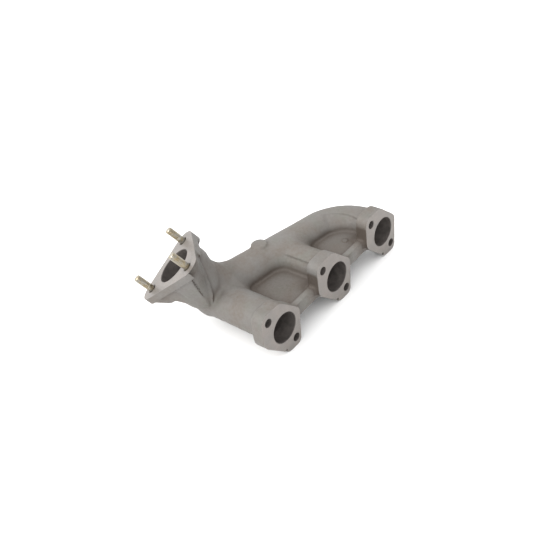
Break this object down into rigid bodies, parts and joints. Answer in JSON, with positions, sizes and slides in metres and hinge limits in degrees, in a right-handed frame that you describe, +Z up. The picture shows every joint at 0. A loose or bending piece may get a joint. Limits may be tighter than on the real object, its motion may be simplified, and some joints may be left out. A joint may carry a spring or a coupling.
{
  "type": "exhaust manifold",
  "caption": "Cast-iron log exhaust manifold: flanged ports in a row feed a tapering collector that turns up to an angled triangular outlet flange with fixed studs.",
  "frame": {"origin": "centre of the middle port's bore in the machined head face", "axes": "+X along the row of ports away from the outlet, +Y out of the engine away from the head face, +Z up in the head face"},
  "size_m": [0.259, 0.1472, 0.1173],
  "materials": {
    "casting": "sand-cast iron, machined on the port and outlet faces",
    "studs": "yellow zinc plate"
  },
  "bodies": {
    "root": {"manifold_casting": "casting", "stud_inner": "studs", "stud_upper": "studs", "stud_outer": "studs"}
  },
  "joints": []
}
